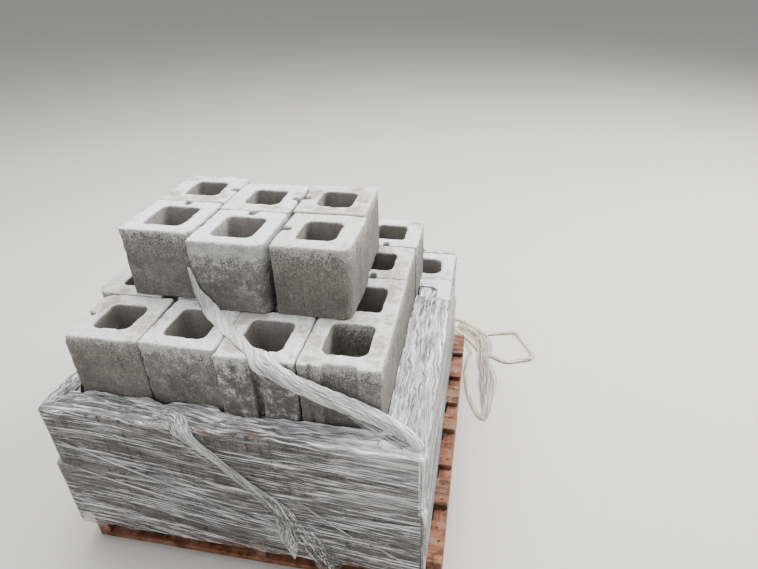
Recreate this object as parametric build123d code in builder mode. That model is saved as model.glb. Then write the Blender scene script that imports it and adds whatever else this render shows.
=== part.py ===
from build123d import *
from math import radians, tan
import os

# Pallet of concrete blocks: hollow blocks in four courses on a wood pallet, held by torn stretch wrap.
# The origin is the centre of the pallet's footprint, on the floor. +Y runs from the front to the back, +Z up.
# Sizes are in millimetres, and turns in degrees.

os.makedirs("parts", exist_ok=True)

# Pallet
pallet_width = 1016.0
pallet_depth = 1016.0
board_thickness = 19.0
lead_board_width = 127.0
top_field_widths = (93.0, 99.0, 75.0, 88.0, 90.0)
bottom_field_widths = (89.0, 89.0, 89.0)
stringer_width = 38.0
stringer_height = 89.0

# Blocks: actual sizes of the 8 inch module, without its mortar joint
block_width = 194.0
block_height = 194.0
full_block_length = 397.0
half_core_width = 98.0
half_core_length = 104.0
full_core_width = 108.0
full_core_length = 121.0
full_core_pitch = 179.0
core_draft = 2.0
core_corner_radius = 17.0
slot_width = 20.0
slot_depth = 24.0
bullnose_radius = 26.0
arris_radius = 4.0
end_recess_width = 84.0
end_recess_depth = 11.0
end_groove_width = 11.0
end_groove_depth = 8.0
end_groove_pitch = 137.0

# Stack: where each course lies, from how far it hangs over the pallet's left and front edges
column_count = 5
first_column_gap = 7.0
first_overhang = 26.0
second_column_gap = 0.8
second_overhang = 8.0
row_gap = 4.0
front_overhang = 16.0
loose_column_gap = 4.0
loose_row_gap = 4.0
third_inset_x = 82.0
third_inset_y = 60.0
left_block_outset = 40.0
front_block_outset = 8.0
top_inset_x = 79.0
top_inset_y = 174.0
top_column_gap = 10.0
top_row_gap = 4.0

# Stretch wrap
film_thickness = 2.0
film_clearance = 0.5
film_skirt = 35.0
ledge_clearance = 3.0
tear_inset = 10.0
tear_length = 165.0
strand_thickness = 4.0
strand_clearance = 0.4
tail_thickness = 3.0

deck_top = board_thickness + stringer_height + board_thickness
second_course_z = deck_top + block_height
third_course_z = second_course_z + block_height
top_course_z = third_course_z + block_height

first_width = column_count * block_width + (column_count - 1) * first_column_gap
second_width = column_count * block_width + (column_count - 1) * second_column_gap
stack_depth = 2 * full_block_length + block_width + 2 * row_gap
first_left = -pallet_width / 2 - first_overhang
second_left = -pallet_width / 2 - second_overhang
stack_front = -pallet_depth / 2 - front_overhang
third_left = second_left + third_inset_x
third_front = stack_front + third_inset_y
top_left = third_left + top_inset_x
top_front = third_front + top_inset_y


def write(piece, name):
    """Names a finished piece and writes it."""
    piece.part.label = name
    export_step(piece.part, f"parts/{name}.step")


CORNERS = ("front left", "front right", "back left", "back right")


def corner_edge(edges, length, corner):
    """The upright edge at a corner such as "front left" of a block that stands at the origin."""
    end, side = corner.split()
    spot = Vector(0 if side == "left" else block_width, 0 if end == "front" else length, block_height / 2)
    return edges().filter_by(Axis.Z).sort_by(lambda edge: (edge.center() - spot).length)[0]


def core(edges, width, length, centre_y, soften):
    """Cuts a core that tapers upwards through the block being made, and softens its upright corners."""
    widening = block_height * tan(radians(core_draft))
    with BuildSketch() as opening:
        with Locations((block_width / 2, centre_y)):
            Rectangle(width + 2 * widening, length + 2 * widening)
    extrude(opening.sketch, amount=block_height, taper=core_draft, mode=Mode.SUBTRACT)
    upright = edges(Select.LAST).filter_by(lambda edge: edge.bounding_box().size.Z > block_height / 2)
    soften(upright, core_corner_radius)


def half_block(wide_end_up=False, slot=None, bullnoses=(), soften=fillet):
    """A one-core block with its front left corner at the origin. A sash slot may run up one face."""
    with BuildPart() as block:
        with BuildSketch():
            Rectangle(block_width, block_width, align=Align.MIN)
        extrude(amount=block_height)
        for corner in CORNERS:
            radius = bullnose_radius if corner in bullnoses else arris_radius
            soften(corner_edge(block.edges, block_width, corner), radius)
        core(block.edges, half_core_width, half_core_length, block_width / 2, soften)
        if slot:
            middle = block_width / 2
            turns = {"front": 0, "right": 90, "back": 180, "left": 270}
            with BuildSketch():
                with Locations(Location((middle, middle, 0), (0, 0, turns[slot]))):
                    with Locations((0, -middle)):
                        Rectangle(slot_width, 2 * slot_depth)
            extrude(amount=block_height, mode=Mode.SUBTRACT)
        if wide_end_up:
            mirror(about=Plane.XY.offset(block_height / 2), mode=Mode.REPLACE)
    return block.part


def full_block(soften=fillet):
    """A two-core block that runs back from its front left corner at the origin, with a recessed front end."""
    with BuildPart() as block:
        with BuildSketch():
            Rectangle(block_width, full_block_length, align=Align.MIN)
            with Locations((block_width / 2, 0)):
                Rectangle(end_recess_width, 2 * end_recess_depth, mode=Mode.SUBTRACT)
                with GridLocations(end_groove_pitch, 0, 2, 1):
                    Rectangle(end_groove_width, 2 * end_groove_depth, mode=Mode.SUBTRACT)
        extrude(amount=block_height)
        for corner in CORNERS:
            soften(corner_edge(block.edges, full_block_length, corner), arris_radius)
        for side in (-1, 1):
            centre_y = full_block_length / 2 + side * full_core_pitch / 2
            core(block.edges, full_core_width, full_core_length, centre_y, soften)
    return block.part


# Pallet: three stringers between seven top boards and five bottom boards

stringer_offset = (pallet_width - stringer_width) / 2
for name, offset in (("left", -stringer_offset), ("centre", 0), ("right", stringer_offset)):
    with BuildPart() as stringer:
        with BuildSketch(Plane.XY.offset(board_thickness)):
            with Locations((offset, 0)):
                Rectangle(stringer_width, pallet_depth)
        extrude(amount=stringer_height)
    write(stringer, f"{name}_stringer")

for name, level, field_widths in (
    ("top", deck_top - board_thickness, top_field_widths),
    ("bottom", 0, bottom_field_widths),
):
    widths = (lead_board_width, *field_widths, lead_board_width)
    gap = (pallet_depth - sum(widths)) / (len(widths) - 1)
    board_front = -pallet_depth / 2
    for number, width in enumerate(widths, start=1):
        with BuildPart() as board:
            with BuildSketch(Plane.XY.offset(level)):
                with Locations((0, board_front + width / 2)):
                    Rectangle(pallet_width, width)
            extrude(amount=board_thickness)
        write(board, f"{name}_deck_board_{number}")
        board_front += width + gap

# First and second course: five columns of two full blocks and a half block, with the half block at the front
# below and at the back above, so that the joints are broken. The wrap hides these blocks, so their corners
# are bevelled where those of the loose blocks are round

full_row = full_block_length + row_gap
half_row = block_width + row_gap
wrapped_full = full_block(soften=chamfer)
wrapped_half = half_block(soften=chamfer)

for name, level, left, gap, full_rows, half_at in (
    ("first", deck_top, first_left, first_column_gap, (half_row, half_row + full_row), 0),
    ("second", second_course_z, second_left, second_column_gap, (0, full_row), 2 * full_row),
):
    columns = [left + column * (block_width + gap) for column in range(column_count)]
    with BuildPart() as full_blocks:
        with Locations([(x, stack_front + row, level) for x in columns for row in full_rows]):
            add(wrapped_full)
    write(full_blocks, f"{name}_course_full_blocks")
    with BuildPart() as half_blocks:
        with Locations([(x, stack_front + half_at, level) for x in columns]):
            add(wrapped_half)
    write(half_blocks, f"{name}_course_half_blocks")

# Third course: loose blocks in four columns. Each stands on a grid place, shifted and turned by hand

loose_column_pitch = block_width + loose_column_gap
loose_row_pitch = block_width + loose_row_gap


def third_place(column, row, shift_x, shift_y, turn=0):
    x = third_left + column * loose_column_pitch + shift_x
    y = third_front + row * loose_row_pitch + shift_y
    return Location((x, y, third_course_z), (0, 0, turn))


slot_right = dict(slot="right", bullnoses=["front left"])
third_course = (
    ("third_front_left_block", third_place(0, 0, 3, 7, 1.2), dict(slot="left", bullnoses=["back left"])),
    ("third_front_middle_block", third_place(1, 0, 0, 12, -1.2), dict(wide_end_up=True)),
    (
        "third_front_right_block",
        third_place(2, 0, 1.2, -front_block_outset, 0.25),
        dict(wide_end_up=True, slot="front"),
    ),
    ("third_left_block", third_place(0, 1, -left_block_outset, 8.5), slot_right),
)
for name, place, shape in third_course:
    with BuildPart() as loose_block:
        with Locations(place):
            add(half_block(**shape))
    write(loose_block, name)

inner_places = (
    third_place(1, 1, -2, 10.5),
    third_place(2, 1, -3, 10),
    third_place(0, 2, -2, 7.5, 0.2),
    third_place(1, 2, -3, 9),
    third_place(2, 2, -4, 8),
    third_place(0, 3, -5, 6),
    third_place(1, 3, -4, 8, -0.2),
    third_place(2, 3, -4, 7),
)
with BuildPart() as inner_blocks:
    with Locations(inner_places):
        add(half_block(slot="front"))
write(inner_blocks, "third_course_inner_blocks")

right_column = third_left + 3 * loose_column_pitch
long_block_front = third_front - 5
with BuildPart() as long_block:
    with Locations(Location((right_column + 1, long_block_front, third_course_z), (0, 0, 0.5))):
        add(full_block())
write(long_block, "third_right_long_block")

behind_long_block = long_block_front + full_block_length + loose_row_gap
right_blocks = (
    ("third_right_middle_block", right_column - 5, behind_long_block, 0),
    ("third_right_back_block", right_column - 2, behind_long_block + loose_row_pitch - 1, 0.2),
)
for name, x, y, turn in right_blocks:
    with BuildPart() as right_block:
        with Locations(Location((x, y, third_course_z), (0, 0, turn))):
            add(half_block(slot="front"))
    write(right_block, name)

# Top course: six loose half blocks

top_column_pitch = block_width + top_column_gap
top_row_pitch = block_width + top_row_gap


def top_place(column, row, shift_x, shift_y, turn=0):
    x = top_left + column * top_column_pitch + shift_x
    y = top_front + row * top_row_pitch + shift_y
    return Location((x, y, top_course_z), (0, 0, turn))


turned_over = dict(wide_end_up=True, slot="back", bullnoses=["front right"])
top_course = (
    ("top_front_left_block", top_place(0, 0, -3, 37, -0.8), turned_over),
    ("top_front_middle_block", top_place(1, 0, -3, -4, -0.7), turned_over),
    ("top_front_right_block", top_place(2, 0, 3, 1, -0.4), dict(slot="left", bullnoses=["front right"])),
    ("top_back_left_block", top_place(0, 1, 3, 34, 0.8), dict(slot="right", bullnoses=["back left"])),
    ("top_back_middle_block", top_place(1, 1, -3, -5.5), dict(slot="right", bullnoses=["back left"])),
    ("top_back_right_block", top_place(2, 1, -4, 5, 0.6), dict(slot="left")),
)
for name, place, shape in top_course:
    with BuildPart() as top_block:
        with Locations(place):
            add(half_block(**shape))
    write(top_block, name)

# Stretch wrap: a thin wall round the lower courses, stepped in where the second course is narrower, with its
# top folded over their edge. At the front and left it hangs past the deck, which the blocks overhang there. It
# is torn off across the back right corner and along the back

wrap_front = stack_front - film_clearance
wrap_back = stack_front + stack_depth + film_clearance
wrap_left = second_left - film_clearance
wrap_right = second_left + second_width + film_clearance
step_z = second_course_z + film_clearance
fold_z = third_course_z + film_clearance
ledge_left = third_left - left_block_outset - ledge_clearance
ledge_front = third_front - front_block_outset - ledge_clearance
ledge_right = right_column + 1 + block_width + ledge_clearance
tear_start = behind_long_block + 2 * loose_row_pitch - tear_inset
tear_end = tear_start - tear_length


def wrap_outline(left, width, margin, mode=Mode.ADD):
    """The outline of a course with the film's clearance and a margin round it."""
    reach = film_clearance + margin
    with BuildSketch(mode=Mode.PRIVATE) as bevelled:
        Rectangle(width + 2 * reach, stack_depth + 2 * reach)
        chamfer(bevelled.vertices(), arris_radius + margin / 2)
    with Locations((left + width / 2, stack_front + stack_depth / 2)):
        add(bevelled.sketch, mode=mode)


with BuildPart() as film_wrap:
    with BuildSketch(Plane.XY.offset(deck_top - film_skirt)) as lower_wall:
        wrap_outline(first_left, first_width, film_thickness)
        wrap_outline(first_left, first_width, 0, Mode.SUBTRACT)
    extrude(amount=step_z + film_thickness - (deck_top - film_skirt))
    with BuildSketch(Plane.XY.offset(step_z)) as step:
        wrap_outline(first_left, first_width, film_thickness)
        wrap_outline(second_left, second_width, 0, Mode.SUBTRACT)
    extrude(amount=film_thickness)
    with BuildSketch(Plane.XY.offset(step_z)) as upper_wall:
        wrap_outline(second_left, second_width, film_thickness)
        wrap_outline(second_left, second_width, 0, Mode.SUBTRACT)
    extrude(amount=fold_z + film_thickness - step_z)
    with BuildSketch(Plane.XY.offset(fold_z)) as ledge:
        with BuildLine():
            Polyline(
                (wrap_left, wrap_back),
                (wrap_left, wrap_front),
                (wrap_right, wrap_front),
                (wrap_right, tear_end),
                (ledge_right, tear_start),
                (ledge_right, ledge_front),
                (ledge_left, ledge_front),
                (ledge_left, wrap_back),
                close=True,
            )
        make_face()
    extrude(amount=film_thickness)
    with BuildSketch() as over_the_deck:
        with Locations((-pallet_width / 2 - film_clearance, -pallet_depth / 2 - film_clearance)):
            Rectangle(2 * pallet_width, 2 * pallet_depth, align=Align.MIN)
    extrude(amount=deck_top + film_clearance, mode=Mode.SUBTRACT)
write(film_wrap, "film_wrap")


def plate(plane, outline, thickness, hole=None):
    """Adds a flat stretch of film to the piece being made: an outline, drawn out along its plane's normal."""
    with BuildSketch(plane) as stretch:
        with BuildLine():
            Polyline(*outline, close=True)
        make_face()
        if hole:
            with BuildLine():
                Polyline(*hole, close=True)
            make_face(mode=Mode.SUBTRACT)
    extrude(stretch.sketch, amount=thickness)


# Twisted strand: from the gap between two top blocks, over the third course and down to the wrap's front
# right corner. Heights are from the top course's foot

gap_x = top_left + top_column_pitch - 3
strand_back = top_front - 7 - strand_clearance
strand_front = third_front - front_block_outset - 1 - strand_clearance
strand_foot = strand_clearance
strand_crest = strand_clearance + strand_thickness
against_top_block = Plane(origin=(gap_x, strand_back, top_course_z), x_dir=(1, 0, 0), z_dir=(0, -1, 0))
over_third_course = Plane(origin=(gap_x, 0, top_course_z + strand_clearance))
before_third_course = Plane(origin=(gap_x, strand_front, top_course_z), x_dir=(1, 0, 0), z_dir=(0, -1, 0))
with BuildPart() as film_strand:
    plate(
        against_top_block,
        (
            (-5, 122),
            (4, 124),
            (18, 66),
            (44, 22),
            (62, strand_foot),
            (18, strand_foot),
            (8, 30),
            (-3, 70),
        ),
        strand_thickness,
    )
    plate(
        over_third_course,
        (
            (18, strand_back),
            (62, strand_back),
            (109, strand_back - 50),
            (174, strand_back - 104),
            (252, strand_front - strand_thickness),
            (206, strand_front - strand_thickness),
            (152, strand_back - 130),
            (87, strand_back - 76),
        ),
        strand_thickness,
    )
    plate(
        before_third_course,
        (
            (206, strand_crest),
            (252, strand_crest),
            (319, -19),
            (426, -65),
            (542, -115),
            (590, -143),
            (612, -179),
            (598, -190),
            (562, -179),
            (520, -159),
            (406, -109),
            (299, -63),
            (254, -29),
        ),
        strand_thickness,
    )
write(film_strand, "film_strand")

# Loose tail: from a gathered knot on the front ledge, down over the front of the wrap, with a torn flap.
# Heights are from the third course's foot

knot_x = third_left + 272
tail_rise = film_clearance + film_thickness
tail_back = wrap_front - film_thickness - film_clearance
on_the_ledge = Plane(origin=(knot_x, 0, fold_z + tail_rise))
down_the_front = Plane(origin=(knot_x, tail_back, third_course_z), x_dir=(1, 0, 0), z_dir=(0, -1, 0))
tail_crest = film_clearance + tail_rise + tail_thickness
with BuildPart() as film_front_tail:
    plate(
        on_the_ledge,
        (
            (-10, ledge_front - 18),
            (12, ledge_front - 16),
            (50, tail_back - tail_thickness),
            (12, tail_back - tail_thickness),
        ),
        tail_thickness,
    )
    plate(
        down_the_front,
        (
            (12, tail_crest),
            (50, tail_crest),
            (83, -19),
            (121, -59),
            (184, -131),
            (230, -181),
            (294, -215),
            (342, -315),
            (408, -433),
            (366, -453),
            (300, -339),
            (277, -441),
            (259, -325),
            (256, -253),
            (202, -209),
            (154, -155),
            (95, -81),
            (57, -41),
        ),
        tail_thickness,
    )
write(film_front_tail, "film_front_tail")

# Ground tail: a torn end of the wrap that drops behind the load's back right corner and lies on the ground as
# a roped loop, with a second loop under it that is spread wide. Places are from the corner of whichever
# reaches further out, the deck or the wrap

corner_x = max(pallet_width / 2, first_left + first_width)
corner_y = max(pallet_depth / 2, wrap_back + film_thickness)
rope_left, rope_right = -94, -78
spread_z = film_clearance
rope_z = spread_z + tail_thickness + film_clearance
drop_y = wrap_back + film_thickness + film_clearance
behind_deck_y = corner_y + film_clearance
deck_rest_z = deck_top + film_clearance
down_the_back = Plane(origin=(corner_x, drop_y, deck_rest_z), x_dir=(1, 0, 0), z_dir=(0, -1, 0))
behind_the_deck = Plane(origin=(corner_x, behind_deck_y, rope_z), x_dir=(1, 0, 0), z_dir=(0, -1, 0))
across_the_deck = Plane(origin=(corner_x, 0, deck_rest_z))
on_the_ground = Plane(origin=(corner_x, corner_y, rope_z))
with BuildPart() as film_ground_rope:
    plate(
        down_the_back,
        ((rope_left, 0), (rope_right, 0), (rope_right + 2, 70), (rope_left - 2, 70)),
        -tail_thickness,
    )
    plate(
        across_the_deck,
        (
            (rope_left, drop_y),
            (rope_right, drop_y),
            (rope_right, behind_deck_y + tail_thickness),
            (rope_left, behind_deck_y + tail_thickness),
        ),
        tail_thickness,
    )
    drop = deck_rest_z + tail_thickness - rope_z
    plate(
        behind_the_deck,
        ((rope_left, 0), (rope_right, 0), (rope_right, drop), (rope_left, drop)),
        -tail_thickness,
    )
    plate(
        on_the_ground,
        (
            (rope_left, film_clearance),
            (-83, 142),
            (-83, 292),
            (-58, 298),
            (17, 260),
            (90, 194),
            (98, 196),
            (220, 223),
            (296, 80),
            (286, 32),
            (182, -5),
            (124, 21),
            (66, 56),
            (-46, 204),
            (-60, 132),
            (rope_right, film_clearance),
        ),
        tail_thickness,
        hole=(
            (-56, 232),
            (79, 72),
            (130, 37),
            (180, 13),
            (270, 45),
            (278, 75),
            (214, 206),
            (94, 180),
            (84, 170),
            (7, 237),
            (-56, 274),
        ),
    )
write(film_ground_rope, "film_ground_rope")

with BuildPart() as film_ground_spread:
    plate(
        Plane(origin=(corner_x, corner_y, spread_z)),
        (
            (-64, 227),
            (18, 52),
            (12, 7),
            (9, -90),
            (38, -270),
            (82, -356),
            (100, -356),
            (114, -318),
            (128, -255),
            (148, -120),
            (117, -58),
            (97, -8),
            (132, 52),
            (132, 132),
            (92, 192),
            (12, 252),
            (-53, 282),
        ),
        tail_thickness,
        hole=(
            (-38, 220),
            (37, 57),
            (29, 5),
            (26, -88),
            (54, -263),
            (89, -328),
            (95, -308),
            (82, -258),
            (66, -130),
            (84, -53),
            (64, 12),
            (54, 92),
            (-3, 182),
        ),
    )
write(film_ground_spread, "film_ground_spread")
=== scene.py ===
from functools import partial
from math import cos, pi, radians, sin

import bmesh
import bpy
import numpy as np
from mathutils import Matrix, Vector


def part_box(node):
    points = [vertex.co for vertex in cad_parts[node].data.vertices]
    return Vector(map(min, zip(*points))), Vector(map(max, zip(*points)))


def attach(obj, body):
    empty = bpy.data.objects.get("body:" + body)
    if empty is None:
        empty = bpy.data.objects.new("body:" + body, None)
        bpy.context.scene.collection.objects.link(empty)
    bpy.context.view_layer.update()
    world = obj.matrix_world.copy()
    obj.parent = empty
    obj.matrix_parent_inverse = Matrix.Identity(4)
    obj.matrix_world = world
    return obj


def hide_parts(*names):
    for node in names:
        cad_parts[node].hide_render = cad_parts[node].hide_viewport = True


bl_info = {
    "name": "Pallet of Concrete Blocks",
    "version": (1, 0, 0),
    "blender": (4, 5, 0),
    "location": "3D View > Sidebar > Blocks",
    "description": "Finishes hollow concrete blocks stacked on a wood pallet, in torn stretch wrap",
    "category": "Object",
}

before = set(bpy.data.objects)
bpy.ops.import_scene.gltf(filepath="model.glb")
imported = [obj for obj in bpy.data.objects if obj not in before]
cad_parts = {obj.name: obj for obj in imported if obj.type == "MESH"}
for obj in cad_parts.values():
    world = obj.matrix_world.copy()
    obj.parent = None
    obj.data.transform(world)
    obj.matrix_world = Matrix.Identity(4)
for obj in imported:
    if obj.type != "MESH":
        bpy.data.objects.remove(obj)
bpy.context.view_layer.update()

# Places that several pieces share, in metres, read from the frame
DECK_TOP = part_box("top_deck_board_1")[1].z
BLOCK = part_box("first_course_half_blocks")[1].z - DECK_TOP
SECOND_Z = DECK_TOP + BLOCK
THIRD_Z = SECOND_Z + BLOCK
LOWER_LOW, LOWER_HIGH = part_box("first_course_full_blocks")
UPPER_LOW, UPPER_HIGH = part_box("second_course_full_blocks")
STACK_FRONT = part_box("first_course_half_blocks")[0].y
STACK_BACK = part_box("second_course_half_blocks")[1].y
DECK_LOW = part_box("top_deck_board_1")[0]

MILLIMETRE = 0.001


def mm(*values):
    """A place that is written in millimetres, as a vector in metres."""
    return Vector(values) * MILLIMETRE


class FilmSettings(bpy.types.PropertyGroup):
    """Sizes and colours of the stretch wrap."""

    gap: bpy.props.FloatProperty(
        name="Gap", description="Room from the blocks to the wrap", default=0.0013, min=0.001, unit="LENGTH"
    )
    ridge: bpy.props.FloatProperty(
        name="Ridge", description="Height of the stretched ridges", default=0.0018, min=0, unit="LENGTH"
    )
    crumple: bpy.props.FloatProperty(
        name="Crumple", description="Height of the folds on the ledge", default=0.009, min=0, unit="LENGTH"
    )
    haze: bpy.props.FloatProperty(
        name="Haze", description="How much the tight wrap hides", default=0.5, min=0, max=1, subtype="FACTOR"
    )
    # White is the film's own white and also the colour of its painted highlights and glints
    white: bpy.props.StringProperty(name="White", description="Colour of crumpled film", default="FBFBFC")
    dirt: bpy.props.StringProperty(name="Dirt", description="Colour of dust in the film", default="6A5040")


class BlockSettings(bpy.types.PropertyGroup):
    """Wear and colours of the concrete blocks."""

    voxel: bpy.props.FloatProperty(
        name="Grain", description="Size of a worn block's facets", default=0.0045, min=0.002, unit="LENGTH"
    )
    wear: bpy.props.FloatProperty(
        name="Wear", description="How far chipped edges are worn", default=1.0, min=0, max=2, subtype="FACTOR"
    )
    face: bpy.props.StringProperty(name="Face", description="Colour of a block's side", default="706D68")
    # The bed face colour is whiter partly as painted light from above
    top: bpy.props.StringProperty(name="Top", description="Colour of a block's bed face", default="DFE2E4")
    stain: bpy.props.StringProperty(name="Stain", description="Colour of a bed face's dust", default="857866")


class WoodSettings(bpy.types.PropertyGroup):
    """Sizes and colours of the pallet's timber."""

    warp: bpy.props.FloatProperty(
        name="Warp", description="How far a board bends out of true", default=0.0012, min=0, unit="LENGTH"
    )
    nail: bpy.props.FloatProperty(
        name="Nail", description="Diameter of a nail head", default=0.0105, min=0.002, unit="LENGTH"
    )
    light: bpy.props.StringProperty(name="Light", description="Colour of the pale grain", default="8C6147")
    dark: bpy.props.StringProperty(name="Dark", description="Colour of the dark grain", default="33211A")


# Fields of smooth random values, for shapes

HASH_PRIMES = np.array((73856093, 19349663, 83492791))
HASH_MIX = 1274126177
# How many lumps one seed's field lies from the next, and the place on an axis that isn't given
SEED_STEP = 19.7
REST_PLACE = 0.31


def grit(cells, seed):
    """Smooth random values from -1 to 1 at places given in lumps, which may have one to three axes. They come
    from a hash of the nearest whole places, so a seed gives the same values in every run."""
    cells = np.asarray(cells, float) + SEED_STEP * seed
    if cells.shape[1] < 3:
        cells = np.pad(cells, ((0, 0), (0, 3 - cells.shape[1])), constant_values=REST_PLACE)
    base = np.floor(cells).astype(np.int64)
    part = cells - base
    part = part * part * (3 - 2 * part)
    total = np.zeros(len(cells))
    for corner in np.ndindex(2, 2, 2):
        mixed = np.bitwise_xor.reduce((base + corner) * HASH_PRIMES, axis=1)
        mixed = (mixed ^ (mixed >> 13)) * HASH_MIX % 2**32
        value = (mixed ^ (mixed >> 16)) / 2**31 - 1
        total += value * np.prod(np.where(corner, part, 1 - part), axis=1)
    return total


def smoothstep(value, low, high):
    """0 below low, 1 above high, and a smooth rise between them."""
    share = np.clip((value - low) / (high - low), 0, 1)
    return share * share * (3 - 2 * share)


# Meshes


def read_points(mesh):
    """The mesh's points as an array with a row for each."""
    points = np.empty(len(mesh.vertices) * 3)
    mesh.vertices.foreach_get("co", points)
    return points.reshape(-1, 3)


def write_points(mesh, points):
    """Moves the mesh's points to the rows of an array."""
    mesh.vertices.foreach_set("co", points.ravel())
    mesh.update()


def read_normals(mesh):
    """The direction that the mesh faces at each point."""
    normals = np.empty(len(mesh.vertices) * 3)
    mesh.vertex_normals.foreach_get("vector", normals)
    return normals.reshape(-1, 3)


def paint(mesh, name, values):
    """Stores a value for each point of the mesh, for a material to read."""
    layer = mesh.attributes.new(name, "FLOAT", "POINT")
    layer.data.foreach_set("value", np.broadcast_to(values, len(mesh.vertices)).astype(np.float32))


def settled(mesh, rounds):
    """The mesh's points after each has moved to the middle of its neighbours a number of times."""
    edges = np.empty(len(mesh.edges) * 2, np.int32)
    mesh.edges.foreach_get("vertices", edges)
    start, end = edges.reshape(-1, 2).T
    points = read_points(mesh)
    number = len(points)
    count = np.maximum(np.bincount(start, minlength=number) + np.bincount(end, minlength=number), 1)
    for _ in range(rounds):
        for axis in range(3):
            column = points[:, axis]
            total = np.bincount(start, column[end], number) + np.bincount(end, column[start], number)
            points[:, axis] = total / count
    return points


def new_object(name, shell):
    """Makes a bmesh an object of that name."""
    mesh = bpy.data.meshes.new(name)
    shell.to_mesh(mesh)
    shell.free()
    made = bpy.data.objects.new(name, mesh)
    bpy.context.collection.objects.link(made)
    return made


def finish_piece(piece, look):
    """Shades a piece smooth, gives it its material, and lets it ride on the load."""
    piece.data.materials.clear()
    piece.data.materials.append(look)
    piece.data.polygons.foreach_set("use_smooth", [True] * len(piece.data.polygons))
    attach(piece, "root")


def new_piece(name, shell, look):
    """Makes a bmesh a finished piece of that name."""
    piece = new_object(name, shell)
    finish_piece(piece, look)
    return piece


def cad_copy(node_name, name):
    """A copy of a CAD node as an object of its own, with its loose triangles merged."""
    shell = bmesh.new()
    shell.from_mesh(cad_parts[node_name].data)
    bmesh.ops.remove_doubles(shell, verts=shell.verts, dist=0.01 * MILLIMETRE)
    return new_object(name, shell)


def remesh(piece, size):
    """Rebuilds a piece's mesh from even facets of the given size."""
    modifier = piece.modifiers.new("even facets", "REMESH")
    modifier.mode = "VOXEL"
    modifier.voxel_size = size
    dense = piece.evaluated_get(bpy.context.evaluated_depsgraph_get())
    mesh = bpy.data.meshes.new_from_object(dense)
    piece.modifiers.remove(modifier)
    piece.data = mesh


def only_select(pieces):
    """Selects these pieces alone, and makes the first one active."""
    bpy.ops.object.select_all(action="DESELECT")
    for piece in pieces:
        piece.select_set(True)
    bpy.context.view_layer.objects.active = pieces[0]


# Materials


def linear(code, alpha=1.0):
    """The linear colour of an sRGB hex code."""
    channels = [int(code[at : at + 2], 16) / 255 for at in (0, 2, 4)]
    return (*(c / 12.92 if c <= 0.04045 else ((c + 0.055) / 1.055) ** 2.4 for c in channels), alpha)


def node(tree, kind, sockets=None, **settings):
    """Adds a shader node with its settings, and fills its sockets with values or links."""
    made = tree.nodes.new(f"ShaderNode{kind}")
    for name, value in settings.items():
        setattr(made, name, value)
    for key, value in (sockets or {}).items():
        shown = [socket for socket in made.inputs if socket.enabled]
        socket = shown[key] if isinstance(key, int) else next(s for s in shown if s.name == key)
        if isinstance(value, bpy.types.Node):
            value = next(output for output in value.outputs if output.enabled)
        if isinstance(value, bpy.types.NodeSocket):
            tree.links.new(value, socket)
        else:
            socket.default_value = value
    return made


def new_material(name):
    """An empty material, and the function that adds a node to it."""
    made = bpy.data.materials.new(name)
    made.use_nodes = True
    made.node_tree.nodes.clear()
    return made, partial(node, made.node_tree)


# The sockets of a map range node that the rows of the loops below fill, in this order
RAMP = ("Value", "From Min", "From Max", "To Min", "To Max")


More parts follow.
